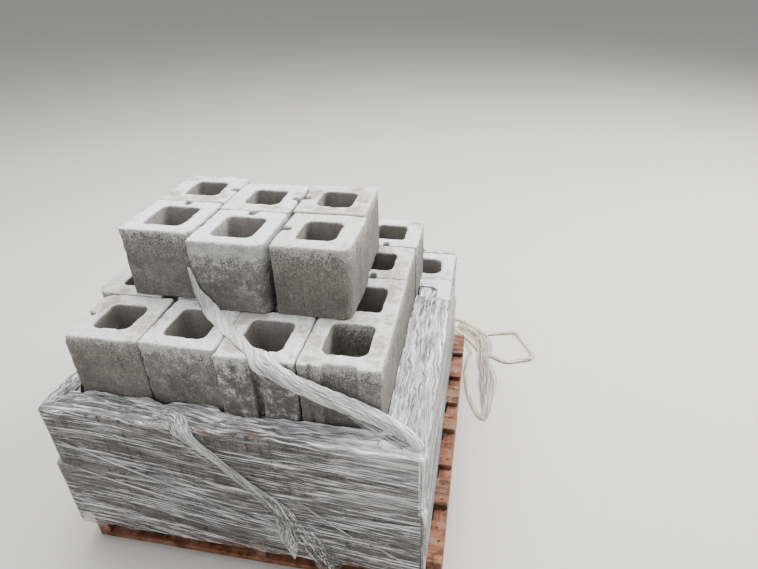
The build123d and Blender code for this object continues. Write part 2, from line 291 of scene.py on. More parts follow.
def dry_pressed_concrete(settings):
    """Hollow block: dry concrete pressed in a steel mould. Open, gritty grain of 2 to 5 mm, fine upright drag
    marks where the mould was drawn off, and a pale bloom of lime that creeps down from the upper rim."""
    made, add = new_material("dry_pressed_concrete")
    where = add("TexCoord")
    place, facing = where.outputs["Object"], where.outputs["Normal"]
    up = add("SeparateXYZ", {0: facing}).outputs["Z"]
    up = add("MapRange", {"Value": up, "From Min": 0.5, "From Max": 0.85})
    rim, core, tint, mottle, lime, dusty = (
        add("Attribute", attribute_name=name).outputs["Fac"]
        for name in ("rim", "core", "tint", "mottle", "lime", "dust")
    )

    # How far up its own block a place is, counted from just under the deck
    height = add("SeparateXYZ", {0: place}).outputs["Z"]
    height = add("Math", {0: height, 1: DECK_TOP - 0.0005}, operation="SUBTRACT")
    share = add("Math", {0: height, 1: BLOCK}, operation="DIVIDE")
    share = add("Math", {0: share}, operation="FRACT")

    # Grain 4 mm, grit 1.6 mm, blotches 22 mm, patches 80 mm, and drag marks 3 mm wide and drawn out upwards
    upright = add("Mapping", {"Vector": place, "Scale": (1, 1, 0.06)})
    grain, grit_fine, blotch, patch, drag = (
        add("TexNoise", {"Vector": vector, "Scale": scale, "Detail": detail, "Roughness": rough})
        for vector, scale, detail, rough in (
            (place, 250, 3, 0.75),
            (place, 620, 2, 0.6),
            (place, 45, 5, 0.72),
            (place, 12, 4, 0.6),
            (upright, 330, 2, 0.5),
        )
    )

    # Side faces: grey-brown, lighter and darker with the grain, the drag marks and the damp
    side = linear(settings.face)
    for row in (
        (grain, 0.32, 0.68, 0.66, 1.36),
        (drag, 0.35, 0.65, 0.86, 1.09),
        (patch, 0.3, 0.7, 0.78, 1.18),
        (blotch, 0.35, 0.65, 0.9, 1.12),
    ):
        tone = add("MapRange", dict(zip(RAMP, row)))
        side = add("Mix", {"Factor": 1.0, "A": side, "B": tone}, data_type="RGBA", blend_type="MULTIPLY")

    # Lime: a speckled haze, the bloom proper near the upper rim, both broken up by the grain, and fine specks
    reach = share
    for pattern, weight in ((blotch, 0.5), (grain, 0.3), (drag, 0.2), (lime, 0.24), (core, -0.25)):
        reach = add("Math", {0: pattern, 1: weight, 2: reach}, operation="MULTIPLY_ADD")
    for cover, breaks, code in (
        ((reach, 1.12, 1.46, 0, 0.4), (grain, 0.44, 0.6, 0, 1), "C4C4C0"),
        ((reach, 1.41, 1.56, 0, 0.62), (grain, 0.3, 0.55, 0.55, 1), "D6D8D6"),
        ((grit_fine, 0.6, 0.68, 0, 1), (patch, 0.4, 0.65, 0, 0.6), "DEDCD6"),
    ):
        cover, breaks = (add("MapRange", dict(zip(RAMP, row))) for row in (cover, breaks))
        cover = add("Math", {0: cover, 1: breaks}, operation="MULTIPLY")
        side = add("Mix", {"Factor": cover, "A": side, "B": linear(code)}, data_type="RGBA")

    # Some blocks are blotched black and white on their outer faces
    outer = add("Math", {0: 1.0, 1: core}, operation="SUBTRACT")
    mottle = add("Math", {0: mottle, 1: outer}, operation="MULTIPLY")
    pale = add("Math", {0: grain, 1: 0.5, 2: blotch}, operation="MULTIPLY_ADD")
    for row, code in (((blotch, 0.54, 0.4, 0, 0.9), "57544F"), ((pale, 0.8, 0.9, 0, 0.8), "D2D2CE")):
        cover = add("MapRange", dict(zip(RAMP, row)))
        cover = add("Math", {0: cover, 1: mottle}, operation="MULTIPLY")
        side = add("Mix", {"Factor": cover, "A": side, "B": linear(code)}, data_type="RGBA")

    # Bed faces: whitish, partly pale lime and dust and partly painted top light, with trodden dust
    bed = linear(settings.top)
    for row in (
        (grain, 0.32, 0.64, 0.6, 1.14),
        (blotch, 0.3, 0.65, 0.84, 1.08),
        (patch, 0.3, 0.7, 0.88, 1.06),
    ):
        tone = add("MapRange", dict(zip(RAMP, row)))
        bed = add("Mix", {"Factor": 1.0, "A": bed, "B": tone}, data_type="RGBA", blend_type="MULTIPLY")
    dust = add("Math", {0: blotch, 1: 0.4}, operation="MULTIPLY")
    for pattern, weight in ((patch, 0.6), (dusty, 0.14)):
        dust = add("Math", {0: pattern, 1: weight, 2: dust}, operation="MULTIPLY_ADD")
    dust = add("MapRange", {"Value": dust, "From Min": 0.55, "From Max": 0.65, "To Max": 0.75})
    bed = add("Mix", {"Factor": dust, "A": bed, "B": linear(settings.stain)}, data_type="RGBA")
    # Faces turned up take the bed colour, whiter partly as painted top light
    surface = add("Mix", {"Factor": up, "A": side, "B": bed}, data_type="RGBA")
    warm = add("Math", {0: tint, 1: 0.45}, operation="MULTIPLY")
    warmed = {"Factor": warm, "A": surface, "B": linear("D8BFA6")}
    surface = add("Mix", warmed, data_type="RGBA", blend_type="MULTIPLY")

    # Rims are chipped to pale grit, and the cores are evenly grey
    chips = add("MapRange", {"Value": grain, "From Min": 0.38, "From Max": 0.6})
    chips = add("Math", {0: rim, 1: chips}, operation="MULTIPLY")
    hollow = add("Math", {0: core, 1: 0.5}, operation="MULTIPLY")
    for cover, code in ((chips, "DADBD7"), (hollow, "96928A")):
        surface = add("Mix", {"Factor": cover, "A": surface, "B": linear(code)}, data_type="RGBA")
    tone = add("MapRange", dict(zip(RAMP, (grit_fine, 0.36, 0.64, 0.84, 1.1))))
    surface = add("Mix", {"Factor": 1.0, "A": surface, "B": tone}, data_type="RGBA", blend_type="MULTIPLY")

    relief = grain
    for pattern, weight in ((grit_fine, 0.5), (drag, 0.4)):
        relief = add("Math", {0: pattern, 1: weight, 2: relief}, operation="MULTIPLY_ADD")
    bump = add("Bump", {"Height": relief, "Strength": 1.0, "Distance": 0.002})
    rough = add("MapRange", {"Value": grain, "To Min": 0.82, "To Max": 1.0})
    shader = add(
        "BsdfPrincipled",
        {"Base Color": surface, "Roughness": rough, "Specular IOR Level": 0.3, "Normal": bump, "IOR": 1.5},
    )
    add("OutputMaterial", {"Surface": shader})
    return made


def sawn_hardwood(settings, name, along):
    """Pallet timber: plain sawn hardwood, dry and unplaned. Reddish grain of 3 to 6 mm along the board, saw
    marks across it, and dirt in the pores."""
    made, add = new_material(name)
    place = add("TexCoord").outputs["Object"]
    fibres, cuts = (
        add("Mapping", {"Vector": place, "Scale": [on if axis == along else off for axis in range(3)]})
        for on, off in ((0.035, 1.0), (1.0, 0.08))
    )
    grain, bands = (
        add(
            "TexNoise",
            {"Vector": fibres, "Scale": scale, "Detail": detail, "Roughness": rough, "Distortion": bend},
        )
        for scale, detail, rough, bend in ((210, 5, 0.65, 0.4), (32, 3, 0.5, 1.2))
    )
    patch = add("TexNoise", {"Vector": place, "Scale": 22, "Detail": 5, "Roughness": 0.65})
    saw = add("TexNoise", {"Vector": cuts, "Scale": 160, "Detail": 1})
    tone = add("Attribute", attribute_name="tone").outputs["Fac"]

    # Dark and light grain, redder in some boards, with grey weathered patches 45 mm across and soil
    mixed = add("Math", {0: bands, 1: 0.4}, operation="MULTIPLY")
    mixed = add("Math", {0: grain, 1: 0.6, 2: mixed}, operation="MULTIPLY_ADD")
    mixed = add("MapRange", {"Value": mixed, "From Min": 0.4, "From Max": 0.6})
    grains = {"Factor": mixed, "A": linear(settings.dark), "B": linear(settings.light)}
    colour = add("Mix", grains, data_type="RGBA")
    red = add("Math", {0: tone, 1: 0.4}, operation="MULTIPLY")
    grey = add("MapRange", {"Value": patch, "From Min": 0.52, "From Max": 0.62, "To Max": 0.45})
    soil = add("MapRange", {"Value": patch, "From Min": 0.47, "From Max": 0.36, "To Max": 0.75})
    for cover, code in ((red, "8F5236"), (grey, "8F7D72"), (soil, "33241B")):
        colour = add("Mix", {"Factor": cover, "A": colour, "B": linear(code)}, data_type="RGBA")
    relief = add("Math", {0: saw, 1: 0.35, 2: grain}, operation="MULTIPLY_ADD")
    bump = add("Bump", {"Height": relief, "Strength": 0.7, "Distance": 0.0012})
    shader = add(
        "BsdfPrincipled", {"Base Color": colour, "Roughness": 0.78, "Specular IOR Level": 0.3, "Normal": bump}
    )
    add("OutputMaterial", {"Surface": shader})
    return made


def rusted_steel():
    """Pallet nails: mild steel wire nails, rusted almost black in the wood's tannin."""
    made, add = new_material("rusted_mild_steel")
    place = add("TexCoord").outputs["Object"]
    spots = add("TexNoise", {"Vector": place, "Scale": 900, "Detail": 2})
    colour = add("Mix", {"Factor": spots, "A": linear("241A15"), "B": linear("5A3A28")}, data_type="RGBA")
    bump = add("Bump", {"Height": spots, "Strength": 0.4, "Distance": 0.0004})
    shader = add("BsdfPrincipled", {"Base Color": colour, "Roughness": 0.7, "Metallic": 0.4, "Normal": bump})
    add("OutputMaterial", {"Surface": shader})
    return made


def stretch_film(settings, name, haze, cream=0.0, crumpled=False):
    """Pallet wrap: blown polyethylene film, a few hundredths of a millimetre thick, pulled tight in many
    layers. Partly clear where it lies flat, with painted shade there and in the furrows, white along the taut
    ridges 3 to 8 mm apart, partly as painted highlight, with painted glints, and dusty between layers."""
    made, add = new_material(name)
    spread = add("UVMap", uv_map="along")
    crinkle, milk, soil = (
        add("Attribute", attribute_name=attribute).outputs["Fac"] for attribute in ("crinkle", "milk", "soil")
    )

    # All run along the film: streaks 4 mm apart, hairs 2 mm, bands of layers 40 mm, creases 8 to 13 mm
    patterns = {}
    for pattern, scale, detail, distortion in (
        ("streak", (7, 230, 1), 5, 0.5),
        ("hair", (26, 560, 1), 3, 0.3),
        ("band", (1.6, 26, 1), 4, 0.6),
        ("crease", (30, 75, 1), 5, 2.4) if crumpled else ("crease", (9, 125, 1), 5, 1.2),
        ("cloud", (7, 16, 1), 4, 0.8),
    ):
        way = add("Mapping", {"Vector": spread, "Scale": scale})
        looks = {"Scale": 1, "Detail": detail, "Roughness": 0.65, "Distortion": distortion}
        patterns[pattern] = add("TexNoise", {"Vector": way, **looks})
    lines = add("Mix", {"Factor": crinkle, "A": patterns["streak"], "B": patterns["crease"]})
    ridges, furrows, threads, layers, clouds = (
        add("MapRange", {"Value": value, "From Min": low, "From Max": high})
        for value, low, high in (
            (lines, 0.525, 0.575),
            (lines, 0.5, 0.44),
            (patterns["hair"], 0.54, 0.62),
            (patterns["band"], 0.38, 0.62),
            (patterns["cloud"], 0.35, 0.65),
        )
    )

    # Taut ridges are white, most of all where many layers lie, partly as painted highlight, with painted
    # glints along the hairs; the furrows between them are clear, with painted shade, and the thin film is
    # painted dark as shade
    bright = add("Math", {0: layers, 1: 0.9, 2: 0.2}, operation="MULTIPLY_ADD")
    bright = add("Math", {0: ridges, 1: bright}, operation="MULTIPLY")
    # Painted glints: small white painted highlights along the hairs, in clouds
    glints = add("Math", {0: threads, 1: clouds}, operation="MULTIPLY")
    bright = add("Math", {0: glints, 1: 0.8, 2: bright}, operation="MULTIPLY_ADD", use_clamp=True)
    # Painted shade: the film is near black where few layers lie and mid grey where many lie, then milky white
    # where it bunches
    veil = add("Mix", {"Factor": layers, "A": linear("33312F"), "B": linear("76787B")}, data_type="RGBA")
    bunched = add("MapRange", {"Value": milk, "From Min": 0.0, "From Max": 0.8})
    veil = add("Mix", {"Factor": bunched, "A": veil, "B": linear("ECEEF0")}, data_type="RGBA")
    # Painted shade in the furrows, darkest where the film is least milky
    depth = add("MapRange", {"Value": bunched, "To Min": 0.92, "To Max": 0.48})
    depth = add("Math", {0: furrows, 1: depth}, operation="MULTIPLY")
    veil = add("Mix", {"Factor": depth, "A": veil, "B": linear("262422")}, data_type="RGBA")
    colour = add("Mix", {"Factor": bright, "A": veil, "B": linear(settings.white)}, data_type="RGBA")
    dust = add("MapRange", {"Value": patterns["band"], "From Min": 0.56, "From Max": 0.4})
    dust = add("Math", {0: dust, 1: clouds}, operation="MULTIPLY")
    dust = add("Math", {0: dust, 1: 0.35, 2: soil}, operation="MULTIPLY_ADD", use_clamp=True)
    colour = add("Mix", {"Factor": dust, "A": colour, "B": linear(settings.dirt)}, data_type="RGBA")
    tinted = {"Factor": cream, "A": colour, "B": linear("EBDFC2")}
    colour = add("Mix", tinted, data_type="RGBA", blend_type="MULTIPLY")
    shown = add("Math", {0: layers, 1: 0.2, 2: haze}, operation="MULTIPLY_ADD")
    shown = add("Math", {0: bright, 1: 0.5, 2: shown}, operation="MULTIPLY_ADD")
    shown = add("Math", {0: milk, 1: shown}, operation="ADD", use_clamp=True)
    relief = add("Math", {0: patterns["hair"], 1: 0.4, 2: lines}, operation="MULTIPLY_ADD")
    bump = add("Bump", {"Height": relief, "Strength": 1.0, "Distance": 0.005})
    shader = add(
        "BsdfPrincipled",
        {"Base Color": colour, "Roughness": 0.22, "Alpha": shown, "Normal": bump, "IOR": 1.5},
    )
    add("OutputMaterial", {"Surface": shader})
    return made


def material(name, make, *words):
    """The material of that name, made the first time that it is asked for."""
    return bpy.data.materials.get(name) or make(*words)


def concrete():
    """The one concrete of all blocks."""
    return material("dry_pressed_concrete", dry_pressed_concrete, bpy.context.scene.block_settings)


def film(name, *looks):
    """A film of that name, with its haze, how cream it is, and whether it is crumpled."""
    return material(name, stretch_film, bpy.context.scene.film_settings, name, *looks)


# Blocks

# How often a block's points are evened out to find its edges, and how far from its middle its hollow reaches
EVENING = 7
CORE_REACH = 0.072
# Blocks that show less have coarser facets
INNER_FACETS, BACK_FACETS = 1.4, 1.45


def weather(mesh, seed, wear, tint, mottle, lime=0.3, dust=0.3):
    """Chips and roughens one block's even mesh, and paints where it is worn, hollow, tinted or blotched."""
    points, normals = read_points(mesh), read_normals(mesh)
    round_points = settled(mesh, EVENING)
    bulge = np.einsum("ij,ij->i", points - round_points, normals)

    # Edges wear in chips 12 and 40 mm across, and faces are rough in lumps of 6.5 and 30 mm
    chip = 0.2 + 0.75 * grit(points / 0.012, seed) + 0.6 * grit(points / 0.04, seed + 1)
    blend = np.where(bulge > 0, wear * np.clip(chip, 0.05, 1.5), 0.15)
    points = points + (round_points - points) * blend[:, None]
    rough = 0.0006 * grit(points / 0.0065, seed + 2) + 0.0007 * grit(points / 0.03, seed + 3)
    points = points + normals * rough[:, None]
    write_points(mesh, points)

    centre = (points.min(0) + points.max(0)) / 2
    inward = np.einsum("ij,ij->i", normals[:, :2], centre[:2] - points[:, :2]) > 0
    side = np.abs(normals[:, 2]) < 0.5
    offset = np.abs(points[:, 0] - centre[0])
    paint(mesh, "core", np.where(inward & side & (offset < CORE_REACH), 1.0, 0.0))
    below_top = points[:, 2] - points[:, 2].max()
    upper = 0.12 + 0.6 * smoothstep(below_top, -0.012, -0.004)
    paint(mesh, "rim", smoothstep(bulge, 0.0008, 0.0024) * upper)
    for name, value in (("tint", tint), ("mottle", mottle), ("lime", lime), ("dust", dust)):
        paint(mesh, name, value)


def worn_blocks(name, node_name, seed, size, *looks):
    """A piece that stands for a node of blocks, each block worn in its own way."""
    settings = bpy.context.scene.block_settings
    whole = cad_copy(node_name, name)
    only_select([whole])
    bpy.ops.mesh.separate(type="LOOSE")
    blocks = sorted(bpy.context.selected_objects, key=lambda block: tuple(block.bound_box[0]))
    for number, block in enumerate(blocks):
        remesh(block, size)
        weather(block.data, seed + 7 * number, settings.wear, *looks)
    only_select(blocks)
    if len(blocks) > 1:
        bpy.ops.object.join()
    piece = bpy.context.active_object
    piece.name = name
    finish_piece(piece, concrete())
    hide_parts(node_name)


# Each loose block's seed, warm tint, black and white blotches, how far its lime comes down, and its dust
LOOSE_BLOCKS = {
    "third_front_left": (11, 0.5, 0.05, 0.1, 0.4),
    "third_front_middle": (12, 0.1, 0.25, 0.55, 0.3),
    "third_front_right": (13, 0.1, 0.9, 0.7, 0.45),
    "third_left": (14, 0.35, 0.1, 0.2, 0.5),
    "third_right_long": (15, 0.2, 0.15, 0.3, 0.65),
    "third_right_middle": (16, 0.3, 0.1, 0.3, 0.8),
    "third_right_back": (17, 0.2, 0.2, 0.4, 0.3),
    "top_front_left": (21, 0.0, 0.1, 0.2, 0.0),
    "top_front_middle": (22, 0.0, 0.3, 1.0, 0.0),
    "top_front_right": (23, 0.6, 0.0, 0.3, 0.2),
    "top_back_left": (24, 0.05, 0.05, 0.3, 0.5),
    "top_back_middle": (25, 0.1, 0.1, 0.3, 0.3),
    "top_back_right": (26, 0.4, 0.0, 0.3, 0.65),
}


class OBJECT_OT_loose_blocks(bpy.types.Operator):
    """Wear the loose blocks of the third and top course"""

    bl_idname = "blocks.loose_blocks"
    bl_label = "Loose Blocks"

    def execute(self, context):
        size = context.scene.block_settings.voxel
        for name, (seed, *looks) in LOOSE_BLOCKS.items():
            worn_blocks(name, f"{name}_block", seed, size, *looks)
        worn_blocks("third_inner", "third_course_inner_blocks", 31, size * INNER_FACETS, 0.2, 0.1)
        return {"FINISHED"}


class OBJECT_OT_wrapped_blocks(bpy.types.Operator):
    """Finish the blocks inside the wrap, and wear those that show at the back"""

    bl_idname = "blocks.wrapped_blocks"
    bl_label = "Wrapped Blocks"

    def execute(self, context):
        size = context.scene.block_settings.voxel
        worn_blocks("second_back", "second_course_half_blocks", 51, size * BACK_FACETS, 0.05, 0.1)
        for name in ("first_course_full_blocks", "first_course_half_blocks", "second_course_full_blocks"):
            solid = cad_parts[name]
            solid.data.materials.clear()
            solid.data.materials.append(concrete())
        return {"FINISHED"}


# Pallet

# A nail's distance from the board's side, how far it stands out, how much lower its board's face lies, and
# how far it may stray
NAIL_INSET, NAIL_PROUD, FACE_DROP, NAIL_STRAY = 0.019, 0.0006, 0.0007, 0.006
# Boards wider than this have three nails to a crossing
THREE_NAILS = 0.1
BOARD_ROUNDING = 0.0018
# How far apart a board is cut, along it and across it, so that it can bend
CUTS_ALONG, CUTS_ACROSS = 0.03, 0.022
# How uneven a board's sides, sawn ends and faces are
UNEVEN_SIDE, UNEVEN_END, UNEVEN_FACE = 0.0004, 0.0012, 0.0004


def timber(name, node_name, along, seed, nailed_face=None):
    """A sawn board in the place of its node, with rounded arrises, a slight warp, and nails where it has a
    nailed face."""
    settings = bpy.context.scene.wood_settings
    low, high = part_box(node_name)
    size, centre = high - low, (low + high) / 2
    shell = bmesh.new()
    bmesh.ops.create_cube(shell, size=1)
    bmesh.ops.scale(shell, vec=size, verts=shell.verts)
    bmesh.ops.translate(shell, vec=centre, verts=shell.verts)
    across = 1 - along
    for axis, spacing in ((along, CUTS_ALONG), (across, CUTS_ACROSS)):
        normal = Vector([float(axis == k) for k in range(3)])
        cuts = int(size[axis] / spacing)
        for cut in range(1, cuts):
            spot = low + normal * (size[axis] * cut / cuts)
            geometry = shell.verts[:] + shell.edges[:] + shell.faces[:]
            bmesh.ops.bisect_plane(shell, geom=geometry, plane_co=spot, plane_no=normal)
    outer = [edge for edge in shell.edges if edge.calc_face_angle(0) > 1]
    bmesh.ops.bevel(
        shell, geom=outer, offset=BOARD_ROUNDING, segments=2, affect="EDGES", profile=0.5, material=-1
    )
    piece = new_object(name, shell)

    # It bows over 120 mm. The top face keeps clear of what stands on it, and the foot stays on the floor
    mesh = piece.data
    points = read_points(mesh)
    bow = settings.warp * grit(points[:, [along]] / 0.12, seed)
    points[:, across] += 0.6 * bow + UNEVEN_SIDE * grit(points / 0.03, seed + 1)
    short = UNEVEN_END * np.abs(grit(points / 0.018, seed + 2))
    points[:, along] -= np.sign(points[:, along] - centre[along]) * short
    sunk = UNEVEN_FACE * np.abs(grit(points / 0.02, seed + 3))
    points[:, 2] = np.clip(points[:, 2] - sunk, low.z, high.z)
    write_points(mesh, points)
    paint(mesh, "tone", 0.5 + 0.5 * sin(seed * 2.4))
    grain = ("sawn_hardwood_boards", "sawn_hardwood_stringers")[along]
    finish_piece(piece, material(grain, sawn_hardwood, settings, grain, along))
    if nailed_face:
        nails = nail_heads(f"{name}_nails", low, high, nailed_face, seed)
        only_select([piece, nails])
        bpy.ops.object.join()
    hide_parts(node_name)


def nail_heads(name, low, high, level, seed):
    """Nail heads in a board where it crosses the three stringers, two or three to a crossing."""
    settings = bpy.context.scene.wood_settings
    heads = bmesh.new()
    width = high.y - low.y
    count = 3 if width > THREE_NAILS else 2
    for side in ("left", "centre", "right"):
        stringer_low, stringer_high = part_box(f"{side}_stringer")
        middle = (stringer_low.x + stringer_high.x) / 2
        for number in range(count):
            shift = NAIL_STRAY * sin(3.1 * number + seed + middle * 9)
            inset = NAIL_INSET + (width - 2 * NAIL_INSET) * number / (count - 1)
            spot = Vector((middle + shift, low.y + inset + shift / 2, level))
            head = bmesh.ops.create_cone(
                heads,
                cap_ends=True,
                segments=12,
                radius1=settings.nail / 2,
                radius2=settings.nail / 2.3,
                depth=2 * NAIL_PROUD,
                matrix=Matrix.Translation(spot),
            )
            rim = [edge for edge in heads.edges if edge.verts[0] in head["verts"]]
            bmesh.ops.bevel(
                heads, geom=rim, offset=NAIL_PROUD / 3, segments=1, affect="EDGES", profile=0.5, material=-1
            )
    piece = new_object(name, heads)
    piece.data.materials.append(material("rusted_mild_steel", rusted_steel))
    return piece


class OBJECT_OT_pallet(bpy.types.Operator):
    """Saw, warp and nail the pallet's boards and stringers"""

    bl_idname = "blocks.pallet"
    bl_label = "Pallet"

    def execute(self, context):
        for number in range(1, 8):
            node_name = f"top_deck_board_{number}"
            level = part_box(node_name)[1].z - FACE_DROP
            timber(f"deck_plank_{number}", node_name, 0, number, level)
        for number in range(1, 6):
            timber(f"base_plank_{number}", f"bottom_deck_board_{number}", 0, 10 + number)
        for number, side in enumerate(("left", "centre", "right")):
            timber(f"{side}_bearer", f"{side}_stringer", 1, 20 + number)
        return {"FINISHED"}


# Stretch wrap

COLUMNS, WALL_ROWS, FOLD_ROWS, LEDGE_ROWS = 500, 92, 5, 30
CORNER_RADIUS, CORNER_STEPS = 0.011, 6
FOLD_RADIUS = 0.008
# Over this length the patterns of the wrap's two ends blend, at its seam
SEAM_RUN = 0.2
# The foot of the wrap: how far above the deck it stands, how high it hangs where it is past the deck, and by
# what margin the deck counts as wider than it is
FOOT_ON_DECK, HANGING_FOOT, DECK_MARGIN = 0.0012, 0.087, 0.002
# The right wall is torn lower from here back
TORN_WALL_Y = 0.13
# The corners of the ledge end at these places
LEDGE_X, LEDGE_Y = (-0.47, 0.40), (-0.44, 0.44)

# Where the wrap's folded top ends, as the distance that it reaches: along x at the front, and along y at the
# right and left. Millimetres, as are all the tables of the wrap and its strips
FRONT_EDGE = [
    (-540, -470), (-485, -470), (-462, -440), (-452, -436), (-434, -462), (-359, -460), (-253, -456),
    (-200, -470), (-120, -458), (-60, -458), (-44, -474), (61, -475), (157, -474), (166, -472), (299, -472),
    (352, -472), (362, -440), (470, -440),
]
RIGHT_EDGE = [
    (-540, 340), (-476, 340), (-466, 356.5), (-75, 353.5), (-66, 351), (124, 351), (132, 354), (328, 354),
    (345, 452), (480, 452),
]
LEFT_EDGE = [
    (-540, -470), (-500, -470), (-436, -456), (-420, -436), (-268, -437), (-262, -477), (-58, -477),
    (-52, -444), (300, -442), (345, -470), (400, -495), (480, -500),
]
BACK_EDGE = [(-540, 455), (-300, 450), (-100, 458), (100, 449), (300, 457), (480, 462)]
# The torn edge across the back right corner, as how far the film still reaches to the right for each y. From
# the second corner on, no film is left
TORN_RIGHT = [(140, 480), (152, 469), (160, 443), (169, 419), (218, 407), (270, 384), (321, 360), (340, 340)]
TORN_FROM_X, TORN_FROM_Y = 300, 140
BARE_FROM_X, BARE_FROM_Y = 355, 335
# How high the wall still stands along the right side and the back
WALL_TOP_RIGHT = [(-540, 515), (140, 515), (165, 488), (240, 497), (330, 470), (420, 492), (480, 505)]
# A hole at the front right, with how far it reaches along x and y, and a slit at the front left, which ends
# on a slant where x and half of y come to this
HOLE_PLACE, HOLE_REACH = (379, -488), (31, 22)
SLIT_X, SLIT_Y, SLIT_SLANT = (-474, -448), (-455, -405), -668
# The one joint between blocks that shows clearly through the front, in metres
CLEAR_JOINT = 0.2665


def lookup(pairs, values):
    """Values read off a line through pairs of millimetres, for values in metres."""
    pairs = np.array(pairs) * MILLIMETRE
    return np.interp(values, pairs[:, 0], pairs[:, 1])


def wrap_outline(shares, low, high):
    """Points round a rectangle with rounded corners, from its back left corner by the front, with the way out
    and the distance run."""
    (left, front), (right, back) = low, high
    rows = []
    for x, y, first in (
        (left + CORNER_RADIUS, back - CORNER_RADIUS, 90),
        (left + CORNER_RADIUS, front + CORNER_RADIUS, 180),
        (right - CORNER_RADIUS, front + CORNER_RADIUS, 270),
        (right - CORNER_RADIUS, back - CORNER_RADIUS, 0),
    ):
        for step in range(CORNER_STEPS + 1):
            turn = radians(first + 90 * step / CORNER_STEPS)
            rows.append((x + CORNER_RADIUS * cos(turn), y + CORNER_RADIUS * sin(turn), cos(turn), sin(turn)))
    rows.append(rows[0])
    rows = np.array(rows)
    run = np.r_[0, np.cumsum(np.hypot(*np.diff(rows[:, :2], axis=0).T))]
    along = shares * run[-1]
    return [np.interp(along, run, rows[:, k]) for k in range(4)] + [along]


